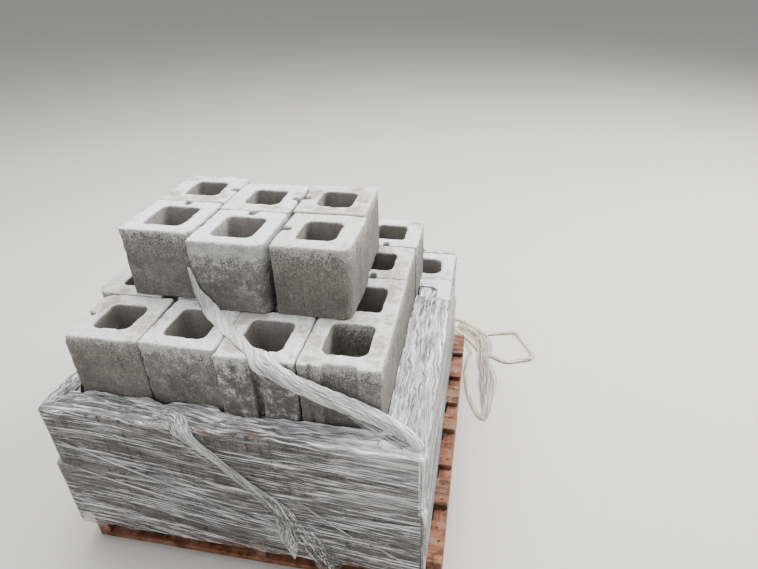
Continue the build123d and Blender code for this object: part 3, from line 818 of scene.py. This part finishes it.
def wrap_points(share, row, settings):
    """Where the film lies for a share of the way round and a row up the wall and over the ledge, with its
    place in the pattern, how far over the ledge it is, and how milky and how soiled."""
    x, y, out_x, out_y, along = wrap_outline(share, (LOWER_LOW.x, STACK_FRONT), (LOWER_HIGH.x, STACK_BACK))
    length = along.max()
    met = smoothstep(along, length - SEAM_RUN, length)

    def round_noise(seed, run, *others):
        """Noise along the wrap, and along other columns, that meets itself at the seam."""
        first, second = (grit(np.c_[(along - start) / run, *others], seed) for start in (0, length))
        return first + (second - first) * met

    # The foot hangs past the deck where the blocks do, and stands on the deck elsewhere
    over_deck = (x > DECK_LOW.x - DECK_MARGIN) & (y > DECK_LOW.y - DECK_MARGIN)
    foot = HANGING_FOOT + 0.006 * round_noise(61, 0.05) + 0.004 * round_noise(62, 0.012)
    foot = np.where(over_deck, DECK_TOP + FOOT_ON_DECK, foot)
    top = THIRD_Z - 0.003 + 0.006 * np.abs(round_noise(76, 0.06))
    torn_top = np.minimum(top, lookup(WALL_TOP_RIGHT, y) + 0.004 * round_noise(63, 0.02))
    top = np.where((out_x > 0.5) & (y > TORN_WALL_Y), torn_top, top)
    z = foot + (top - foot) * np.clip(row / WALL_ROWS, 0, 1)

    # Stretched ridges 9 and 4.5 mm apart, which lean a little, waves 60 mm apart and up to 2.4 mm deep, and
    # loose folds 20 mm apart and up to 6 mm deep under the upper edge
    lean = 0.03 * round_noise(64, 0.5) + (0.03 + 0.12 * (THIRD_Z - z)) * x * (out_y < -0.5)
    ridge = round_noise(65, 0.3, (z + lean) / 0.009) + 0.6 * round_noise(66, 0.12, (z + lean) / 0.0045)
    wave = round_noise(67, 0.22, z / 0.06)
    loose = smoothstep(z, THIRD_Z - 0.07, THIRD_Z) * np.abs(round_noise(77, 0.05, (z + 0.3 * lean) / 0.02))
    gap = settings.gap + settings.ridge * (0.8 + 0.5 * ridge) * 0.6 + 0.0012 * (1 + wave) + 0.006 * loose
    gap = np.maximum(gap, settings.gap)

    # The upper course is narrower, and the film steps in over its foot
    middle, upper_middle = (LOWER_LOW.x + LOWER_HIGH.x) / 2, (UPPER_LOW.x + UPPER_HIGH.x) / 2
    narrow = (UPPER_HIGH.x - UPPER_LOW.x) / (LOWER_HIGH.x - LOWER_LOW.x)
    x_upper = upper_middle + (x - middle) * narrow
    x = x + (x_upper - x) * smoothstep(z, SECOND_Z - 0.004, SECOND_Z + 0.022)

    # Over the edge: a rounded fold, then the ledge, which reaches in to the third course
    turn = np.clip((row - WALL_ROWS) / FOLD_ROWS, 0, 1) * pi / 2
    z = z + FOLD_RADIUS * np.sin(turn)
    inward = FOLD_RADIUS * (1 - np.cos(turn))
    onto = np.clip((row - WALL_ROWS - FOLD_ROWS) / LEDGE_ROWS, 0, 1)
    wall_x, wall_y = x + out_x * (gap - inward), y + out_y * (gap - inward)
    front, back = out_y < -0.7, out_y > 0.7
    end_x = np.where(out_x > 0.5, lookup(RIGHT_EDGE, y), lookup(LEFT_EDGE, y))
    end_x = np.where(front | back, np.clip(wall_x, *LEDGE_X), end_x)
    end_y = np.where(back, lookup(BACK_EDGE, x), np.clip(wall_y, *LEDGE_Y))
    end_y = np.where(front, lookup(FRONT_EDGE, x), end_y)
    ragged = 0.003 * round_noise(68, 0.02)
    point_x = wall_x + (end_x - wall_x) * onto
    point_y = wall_y + (end_y - wall_y) * onto + ragged * onto * np.where(front, -1, 0)
    long_way, short_way = np.where(front | back, point_x, point_y), np.where(front | back, point_y, point_x)

    # Heaped folds on the ledge, 16, 8 and 6 mm apart. They flatten round the hole, and climb the third course
    slant = short_way + 0.1 * long_way
    heap = sum(
        weight * np.abs(grit(np.c_[long_way / run, slant / wide], seed))
        for weight, run, wide, seed in (
            (1.0, 0.09, 0.016, 69),
            (0.6, 0.04, 0.008, 70),
            (0.35, 0.015, 0.006, 71),
        )
    )
    hole_x, hole_y = np.array(HOLE_PLACE) * MILLIMETRE
    heap = heap * smoothstep(np.hypot(point_x - hole_x, point_y - hole_y), 0.025, 0.06)
    climb_up = 0.012 * smoothstep(onto, 0.8, 1.0) * (0.6 + 0.6 * round_noise(74, 0.05))
    z = z + settings.crumple * heap * smoothstep(onto, 0.0, 0.25) + climb_up
    spread_v = z + np.abs(point_x - wall_x) + np.abs(point_y - wall_y) + lean
    points = np.c_[point_x, point_y, z]

    # Milky where the layers bunch: at the corners, along the top, over the ledge and to the right. Clear
    # under the middle of the upper edge, over the step between the courses, and over one joint
    corner = np.clip(1.6 * np.minimum(np.abs(out_x), np.abs(out_y)), 0, 1)
    near_corner = np.exp(-np.minimum(np.abs(x - LOWER_LOW.x), np.abs(x - LOWER_HIGH.x)) / 0.02) * front
    milk = 0.25 * corner - 0.12 * near_corner + 0.12 * smoothstep(z, THIRD_Z - 0.04, THIRD_Z) + 0.15 * onto
    upper = 0.1 + 0.9 * smoothstep(z, SECOND_Z - 0.02, SECOND_Z + 0.05)
    milk += 0.26 * smoothstep(x, 0.0, 0.42) * upper * front + 0.14 * round_noise(75, 0.25, z / 0.05)
    milk += np.where(out_x > 0.5, 0.2 - 0.1 * onto, 0)
    milk -= 0.22 * smoothstep(z, 0.43, 0.48) * (1 - onto) * smoothstep(-x, -0.3, -0.1) * front
    milk -= 0.2 * np.exp(-np.abs(z - SECOND_Z) / 0.006)
    clear = smoothstep(-np.abs(x - CLEAR_JOINT), -0.012, -0.004) * (z < SECOND_Z - 0.01) * front
    milk -= 0.2 * clear

    # Rust brown dirt in the upper folds of the front
    soil = smoothstep(round_noise(78, 0.11, (z + lean) / 0.006), 0.1, 0.8) * front * (1 - onto)
    soil *= 0.2 + 0.8 * smoothstep(z, 0.42, 0.47) * smoothstep(-np.abs(x), -0.3, -0.14)
    return points, along, spread_v, onto, milk, soil


def wrap_shell(settings):
    """The wrap as a grid that is bent round the load and over its edge, with the torn parts cut away."""
    rows = WALL_ROWS + FOLD_ROWS + LEDGE_ROWS
    shell = bmesh.new()
    spread = shell.loops.layers.uv.new("along")
    bmesh.ops.create_grid(shell, x_segments=COLUMNS, y_segments=rows, size=0.5)
    flat = np.array([vertex.co for vertex in shell.verts])
    share, row = flat[:, 0] + 0.5, (flat[:, 1] + 0.5) * rows
    points, along, up, onto, milk, soil = wrap_points(share, row, settings)
    for vertex, point in zip(shell.verts, points):
        vertex.co = point
    for name, values in (("crinkle", np.clip(onto * 4, 0, 1)), ("milk", milk), ("soil", soil)):
        layer = shell.verts.layers.float.new(name)
        for vertex, value in zip(shell.verts, values):
            vertex[layer] = value
    shell.verts.index_update()

    # The pattern runs round the load, but upright in the bunched corner at the front right
    for face in shell.faces:
        x, y, z = face.calc_center_median()
        upright = x > UPPER_HIGH.x - 0.006 and y < STACK_FRONT + 0.05 and z < THIRD_Z
        for loop in face.loops:
            at = loop.vert.index
            loop[spread].uv = (up[at], along[at]) if upright else (along[at], up[at])

    # Torn parts: the back right corner, a hole at the front right and a slit at the front left
    torn = []
    noise = grit(np.array([face.calc_center_median() for face in shell.faces]) / 0.009, 73)
    for face, ragged in zip(shell.faces, noise):
        x, y, z = face.calc_center_median() / MILLIMETRE
        if z <= THIRD_Z / MILLIMETRE - 1:
            continue
        corner = y > TORN_FROM_Y and x > TORN_FROM_X and x > np.interp(y, *zip(*TORN_RIGHT)) + 4 * ragged
        bare = x > BARE_FROM_X and y > BARE_FROM_Y
        off = [(at - middle) / reach for at, middle, reach in zip((x, y), HOLE_PLACE, HOLE_REACH)]
        hole = off[0] ** 2 + off[1] ** 2 < 1 + 0.4 * ragged
        slit = SLIT_X[0] < x < SLIT_X[1] and SLIT_Y[0] < y < SLIT_Y[1] + 10 * ragged
        slit = slit and x + 0.5 * y < SLIT_SLANT
        if corner or bare or hole or slit:
            torn.append(face)
    bmesh.ops.delete(shell, geom=torn, context="FACES")
    bmesh.ops.remove_doubles(shell, verts=shell.verts, dist=0.02 * MILLIMETRE)
    return shell


def smooth_route(route, spacing):
    """Places, and shares of the whole list, along a smooth line through the rows of a route."""
    route = np.array(route, float)
    padded = np.vstack([2 * route[0] - route[1], route, 2 * route[-1] - route[-2]])
    rows = []
    for k in range(len(route) - 1):
        a, b, c, d = padded[k : k + 4]
        steps = max(2, int(np.linalg.norm((c - b)[:3]) / spacing))
        for t in np.arange(steps) / steps:
            curve = (2 * a - 5 * b + 4 * c - d) * t**2 + (3 * b - a - 3 * c + d) * t**3
            rows.append(0.5 * (2 * b + (c - a) * t + curve))
    rows.append(route[-1])
    return np.array(rows)


# The length of a strip's facets along its route
ROUTE_STEP = 0.004


def strip(shell, route, columns, seed, swell, pleat, folds=5, twist=0, frayed=0, milk=(0, 0), crease=(0, 0)):
    """Adds a gathered strip of film to a bmesh. A row of its route has a place and a width in millimetres and
    the way that its back faces. The strip arches over its route by a share of its width, with long pleats
    that may turn round it. Milk and crease are read off lists of values that are spread along it."""
    rows = np.array([(*place, width, *facing) for place, width, facing in route], float)
    rows[:, :4] *= MILLIMETRE
    rows = smooth_route(rows, ROUTE_STEP)
    spread = shell.loops.layers.uv.get("along") or shell.loops.layers.uv.new("along")
    floats = shell.verts.layers.float
    crinkle, milkiness = (floats.get(name) or floats.new(name) for name in ("crinkle", "milk"))
    made = bmesh.ops.create_grid(shell, x_segments=len(rows) - 1, y_segments=columns, size=0.5)["verts"]
    flat = np.array([vertex.co for vertex in made])
    at = np.rint((flat[:, 0] + 0.5) * (len(rows) - 1)).astype(int)
    side = flat[:, 1] * 2
    centre, width = rows[:, :3], rows[:, 3]
    along = np.r_[0, np.cumsum(np.linalg.norm(np.diff(centre, axis=0), axis=1))]
    tangent = np.gradient(centre, axis=0)
    tangent /= np.linalg.norm(tangent, axis=1)[:, None]
    out = rows[:, 4:7] - tangent * np.einsum("ij,ij->i", rows[:, 4:7], tangent)[:, None]
    out /= np.linalg.norm(out, axis=1)[:, None]
    across = np.cross(out, tangent)
    run = along[at]
    ragged = 1 + frayed * grit(np.c_[run / 0.018, np.sign(side)], seed)
    reach = side * width[at] / 2 * ragged
    pleats = 1 - 2 * np.abs(grit(np.c_[side * folds / 2 + twist * run, run / 0.09], seed + 1))
    pleats += 0.6 - 1.2 * np.abs(grit(np.c_[side * folds + 2 * twist * run, run / 0.05], seed + 2))

    # An arch over the whole width, with pleats that flatten out towards the edges
    lift = width[at] * (swell * (1 - side**2) + pleat * (1 - 0.6 * side**2) * (1.6 + pleats))
    points = centre[at] + across[at] * reach[:, None] + out[at] * lift[:, None]
    haze, creases = (np.interp(run, np.linspace(0, along[-1], len(ends)), ends) for ends in (milk, crease))
    for number, (vertex, point) in enumerate(zip(made, points)):
        vertex.co = point
        vertex[milkiness], vertex[crinkle] = haze[number], creases[number]

    # The pattern is finer than on the wrap, lies elsewhere on each strip, and turns with its twist
    flat_places = dict(zip(made, np.c_[run, reach * 1.8 + 0.3 * seed + 0.03 * twist * run]))
    for face in {face for vertex in made for face in vertex.link_faces}:
        for loop in face.loops:
            loop[spread].uv = flat_places[loop.vert]
    return float(along[-1])


FRONT, BACK, UP = (0, -1, 0), (0, 1, 0), (0, 0, 1)

# Taut threads of film across the front of the wrap, and one white strip that is a painted highlight: x and z
# of their ends and bends, and their width
THREADS = [
    [((-500, 424), 2), ((-462, 406), 5), ((-298, 345), 7), ((-184, 301), 6), ((-19, 234), 7), ((81, 204), 4)],
    [((-510, 333), 2), ((-485, 326), 4), ((-317, 279), 6), ((-133, 240), 4), ((-20, 214), 2)],
    [((-167, 499), 3), ((-118, 458), 5), ((-71, 417), 3)],
    # This row is a painted highlight: a white strip laid where light catches the film over a joint, low on
    # the right
    [((260, 287), 3), ((356, 284), 6), ((453, 289), 4)],
    [((286, 224), 3), ((350, 180), 6), ((410, 142), 3)],
    [((149, 318), 3), ((205, 269), 5), ((285, 208), 3)],
]


class OBJECT_OT_wrap(bpy.types.Operator):
    """Pull the stretch wrap round the two lower courses and fold it over their edge"""

    bl_idname = "blocks.wrap"
    bl_label = "Stretch Wrap"

    def execute(self, context):
        settings = context.scene.film_settings
        shell = wrap_shell(settings)
        for number, thread in enumerate(THREADS):
            route = [((x, STACK_FRONT / MILLIMETRE - 4.5, z), 1.4 * width, FRONT) for (x, z), width in thread]
            strip(shell, route, 4, 80 + number, swell=0.1, pleat=0.05, milk=(0.25, 0.45))
        piece = new_piece("wrap", shell, film("tight_stretch_film", settings.haze))
        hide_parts("film_wrap")
        return {"FINISHED"}


# The strand from the gap between two top blocks to the wrap's front right corner
STRAND = [
    ((-155, -299.0, 832), 7, FRONT),
    ((-150, -299.5, 800), 13, FRONT),
    ((-143, -300.0, 765), 22, (0, -1, 0.1)),
    ((-128, -301.0, 735), 34, (0, -1, 0.4)),
    ((-108, -312.0, 713), 38, (0, -0.5, 1)),
    ((-56, -360.0, 711), 34, (0, -0.1, 1)),
    ((9, -414.0, 711), 30, UP),
    ((46, -446.0, 712), 26, (0, -0.1, 1)),
    ((66, -462.0, 712), 42, (0, -0.3, 1)),
    ((84, -477.0, 708), 50, (0, -0.8, 0.8)),
    ((108, -480.0, 695), 44, (0, -1, 0.6)),
    ((155, -483.0, 668), 38, (0, -1, 0.6)),
    ((206, -482.5, 645), 40, (0, -1, 0.5)),
    ((262, -482.5, 623), 41, (0, -1, 0.5)),
    ((319, -482.0, 600), 38, (0.1, -1, 0.6)),
    ((377, -484.0, 574), 34, (0.2, -1, 0.7)),
    ((421, -489.0, 549), 30, (0.3, -1, 0.8)),
    ((448, -498.0, 527), 22, (0.3, -1, 1.0)),
]

# Film that hangs clear below the strand: along its lower end, and at its kink
LOOSE_EDGES = [
    [
        ((268, -480.5, 596), 10, (0, -1, 0.2)),
        ((310, -480.5, 574), 30, (0, -1, 0.2)),
        ((352, -481.0, 552), 40, (0.1, -1, 0.2)),
        ((396, -485.0, 530), 34, (0.2, -1, 0.4)),
        ((430, -494.0, 522), 14, (0.3, -1, 0.8)),
    ],
    [
        ((70, -477.5, 702), 30, (0, -1, 0.1)),
        ((74, -477.5, 684), 34, FRONT),
        ((84, -478.0, 664), 30, FRONT),
        ((98, -478.0, 648), 12, FRONT),
    ],
]

# The loose tail down the front, and the torn flap on it
TAIL = [
    ((-212, -516.0, 524), 8, (0, -0.3, 1)),
    ((-192, -509.0, 527), 46, (0, -0.15, 1)),
    ((-167, -504.0, 528), 64, (0, -0.15, 1)),
    ((-144, -511.0, 527), 56, (0, -0.3, 1)),
    ((-124, -526.0, 516), 44, (0, -0.9, 0.8)),
    ((-102, -532.0, 493), 34, (0, -1, 0.1)),
    ((-80, -531.0, 466), 30, FRONT),
    ((-54, -529.5, 438), 28, FRONT),
    ((7, -529.5, 371), 30, FRONT),
    ((54, -529.5, 322), 40, FRONT),
    ((96, -529.5, 276), 54, FRONT),
    ((134, -529.5, 215), 66, FRONT),
    ((172, -529.5, 155), 78, FRONT),
    ((224, -529.5, 73), 84, FRONT),
]
FLAP = [
    ((100, -529.0, 262), 16, FRONT),
    ((98, -529.5, 222), 40, FRONT),
    ((104, -529.0, 180), 54, FRONT),
    ((112, -529.5, 130), 32, FRONT),
    ((115, -529.0, 78), 5, FRONT),
]


class OBJECT_OT_strand(bpy.types.Operator):
    """Lay the twisted strand across the loose blocks"""

    bl_idname = "blocks.strand"
    bl_label = "Film Strand"

    def execute(self, context):
        shell = bmesh.new()
        turns = {"folds": 15, "twist": 20, "frayed": 0.14}
        length = strip(shell, STRAND, 34, 91, swell=0.1, pleat=0.06, milk=(0.9, 0.7, 1.0, 1.0), **turns)
        clear = (-0.1, -0.3, 0.1)
        for number, edge in enumerate(LOOSE_EDGES):
            strip(shell, edge, 14, 92 + number, swell=0.02, pleat=0.04, frayed=0.2, milk=clear)
        piece = new_piece("strand", shell, film("roped_stretch_film", 0.6, 0.1))
        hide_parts("film_strand")
        return {"FINISHED"}


class OBJECT_OT_front_tail(bpy.types.Operator):
    """Hang the loose tail over the front of the wrap"""

    bl_idname = "blocks.front_tail"
    bl_label = "Front Tail"

    def execute(self, context):
        shell = bmesh.new()
        looks = {"crease": (1.0, 0.2, 0.5, 0.9), "milk": (0.15, 0.5, 0.3, -0.1, -0.1)}
        turns = {"folds": 7, "twist": 5, "frayed": 0.16}
        length = strip(shell, TAIL, 28, 95, swell=0.02, pleat=0.045, **turns, **looks)
        looks = {"crease": (0.7, 0.7), "milk": (0.1, 0.5)}
        strip(shell, FLAP, 16, 97, swell=0.02, pleat=0.05, frayed=0.25, **looks)
        piece = new_piece("front_tail", shell, film("loose_stretch_film", 0.35, 0.1, True))
        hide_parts("film_front_tail")
        return {"FINISHED"}


def on_ground(height, *rows):
    """A route that lies flat, from rows of x, y and width."""
    return [((x, y, height), width, UP) for x, y, width in rows]


# The roped end of the wrap: down behind the load, then a loop on the ground
ROPE = [
    ((422, 477.5, 195), 14, BACK),
    ((422, 478.0, 160), 15, BACK),
    ((422, 479.5, 138), 15, (0, 1, 0.3)),
    ((422, 490.0, 130), 15, (0, 0.1, 1)),
    ((422, 503.0, 130), 15, (0, 0.5, 1)),
    ((422, 509.5, 122), 15, (0, 1, 0.3)),
    ((422, 510.0, 80), 15, BACK),
    ((423, 510.5, 30), 15, BACK),
    ((424, 520.0, 6), 15, (0, 0.6, 1)),
    *on_ground(
        4.5,
        *((426, 560, 14), (430, 640, 14), (429, 730, 14), (434, 785, 14), (456, 797, 14), (525, 762, 15)),
        *((590, 700, 16), (612, 698, 15), (668, 715, 14), (726, 723, 15), (756, 668, 14), (792, 588, 16)),
        *((785, 550, 17), (738, 528, 17), (689, 512, 18), (634, 535, 17), (579, 572, 16), (520, 648, 15)),
        (460, 715, 14),
    ),
]
# The other loop: a roped side, and a wide crumpled side that ends in torn webbing under the first loop
THIN_SIDE = on_ground(
    0.8,
    *((462, 735, 14), (505, 640, 14), (535, 560, 15), (529, 513, 16), (523, 418, 16), (534, 325, 17)),
    *((556, 240, 17), (588, 172, 18), (612, 166, 22)),
)
WIDE_SIDE = on_ground(
    0.8,
    *((604, 168, 24), (610, 205, 30), (612, 252, 40), (614, 320, 58), (614, 384, 66), (606, 450, 56)),
    *((590, 520, 46), (592, 590, 70), (574, 650, 92), (530, 705, 80), (480, 756, 40)),
)


class OBJECT_OT_ground_tail(bpy.types.Operator):
    """Lay the loose end of the wrap on the ground beside the load"""

    bl_idname = "blocks.ground_tail"
    bl_label = "Ground Tail"

    def execute(self, context):
        shell = bmesh.new()
        length = strip(shell, ROPE, 12, 101, swell=0.3, pleat=0.08, folds=3, twist=12, milk=(0.8, 0.8))
        rope = new_piece("ground_rope", shell, film("roped_ground_film", 0.85, 1.0))
        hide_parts("film_ground_rope")
        shell = bmesh.new()
        thin = strip(shell, THIN_SIDE, 10, 103, swell=0.25, pleat=0.08, folds=3, twist=10, milk=(0.6, 0.6))
        milk = (0.3, 0.3, 0.5)
        wide = strip(shell, WIDE_SIDE, 30, 105, swell=0.02, pleat=0.1, folds=9, frayed=0.2, milk=milk)
        look = film("spread_ground_film", 0.65, 0.8, True)
        spread = new_piece("ground_spread", shell, look)
        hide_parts("film_ground_spread")
        return {"FINISHED"}


# Stage

# The camera as fitted to the photograph: place in millimetres, and yaw, pitch and roll in degrees
CAMERA_PLACE = (540.4, -1370.8, 1476.8)
CAMERA_YAW, CAMERA_PITCH, CAMERA_ROLL = -11.646, 30.767, -1.482
CAMERA_LENS, CAMERA_SENSOR = 26.28, 36
# What the lamps are turned to
LOAD_MIDDLE = Vector((0, 0, 0.4))
FLOOR_RADIUS = 60
# Soft daylight: a bright sky from above, stronger from the back right, and a weak fill from the front. Each
# lamp has its place, its size and its power
LAMPS = {
    "sky_key": ((4.0, 2.2, 4.2), 3.4, 620),
    "sky_top": ((-0.4, 0.8, 5.2), 4.4, 640),
    "front_fill": ((-0.6, -4.8, 3.0), 3.0, 60),
}


def aim_camera(camera):
    """Stands the camera where the photograph was taken."""
    yaw, pitch, roll = radians(CAMERA_YAW), radians(CAMERA_PITCH), radians(CAMERA_ROLL)
    ahead = Vector((sin(yaw) * cos(pitch), cos(yaw) * cos(pitch), -sin(pitch)))
    right = Vector((cos(yaw), -sin(yaw), 0))
    above = right.cross(ahead)
    level_right = right * cos(roll) + above * sin(roll)
    level_up = above * cos(roll) - right * sin(roll)
    turn = Matrix((level_right, level_up, -ahead)).transposed()
    camera.matrix_world = Matrix.Translation(mm(*CAMERA_PLACE)) @ turn.to_4x4()


class OBJECT_OT_stage(bpy.types.Operator):
    """Set the floor, the lights and the camera"""

    bl_idname = "blocks.stage"
    bl_label = "Stage"

    def execute(self, context):
        shell = bmesh.new()
        bmesh.ops.create_circle(shell, cap_ends=True, segments=64, radius=FLOOR_RADIUS)
        floor = new_object("floor", shell)
        made, add = new_material("pale_floor")
        shader = add("BsdfPrincipled", {"Base Color": linear("BDBBB6"), "Roughness": 0.95})
        add("OutputMaterial", {"Surface": shader})
        floor.data.materials.append(made)

        for name, (place, size, power) in LAMPS.items():
            lamp = bpy.data.lights.new(name, "AREA")
            lamp.size = size
            lamp.energy = power
            light = bpy.data.objects.new(name, lamp)
            light.location = place
            light.rotation_euler = (LOAD_MIDDLE - Vector(place)).to_track_quat("-Z", "Y").to_euler()
            context.collection.objects.link(light)
        world = bpy.data.worlds.new("pale_sky")
        world.use_nodes = True
        world.node_tree.nodes.clear()
        sky = node(world.node_tree, "Background", {"Color": linear("EDEFF2"), "Strength": 0.6})
        node(world.node_tree, "OutputWorld", {"Surface": sky})
        context.scene.world = world

        lens = bpy.data.cameras.new("camera")
        lens.sensor_fit = "HORIZONTAL"
        lens.sensor_width = CAMERA_SENSOR
        lens.lens = CAMERA_LENS
        camera = bpy.data.objects.new("camera", lens)
        context.collection.objects.link(camera)
        aim_camera(camera)
        context.scene.camera = camera
        return {"FINISHED"}


class VIEW3D_PT_blocks(bpy.types.Panel):
    """Lists the pieces of the load and their settings"""

    bl_idname = "VIEW3D_PT_blocks"
    bl_label = "Pallet of Blocks"
    bl_space_type = "VIEW_3D"
    bl_region_type = "UI"
    bl_category = "Blocks"

    def draw(self, context):
        for group in SETTINGS:
            settings = getattr(context.scene, group)
            for name in settings.bl_rna.properties.keys():
                if name not in ("rna_type", "name"):
                    self.layout.prop(settings, name)
        for operator in OPERATORS:
            self.layout.operator(operator.bl_idname)


SETTINGS = {"block_settings": BlockSettings, "wood_settings": WoodSettings, "film_settings": FilmSettings}
OPERATORS = (
    OBJECT_OT_pallet,
    OBJECT_OT_wrapped_blocks,
    OBJECT_OT_loose_blocks,
    OBJECT_OT_wrap,
    OBJECT_OT_strand,
    OBJECT_OT_front_tail,
    OBJECT_OT_ground_tail,
    OBJECT_OT_stage,
)


def register():
    """Adds the settings, the operators and the panel."""
    for kind in (*SETTINGS.values(), *OPERATORS, VIEW3D_PT_blocks):
        bpy.utils.register_class(kind)
    for name, kind in SETTINGS.items():
        setattr(bpy.types.Scene, name, bpy.props.PointerProperty(type=kind))


def unregister():
    """Takes them away again."""
    for name in SETTINGS:
        delattr(bpy.types.Scene, name)
    for kind in reversed((*SETTINGS.values(), *OPERATORS, VIEW3D_PT_blocks)):
        bpy.utils.unregister_class(kind)


def main():
    """Makes the whole load."""
    register()
    bpy.ops.blocks.pallet()
    bpy.ops.blocks.wrapped_blocks()
    bpy.ops.blocks.loose_blocks()
    bpy.ops.blocks.wrap()
    bpy.ops.blocks.strand()
    bpy.ops.blocks.front_tail()
    bpy.ops.blocks.ground_tail()
    bpy.ops.blocks.stage()


if __name__ == "__main__":
    main()
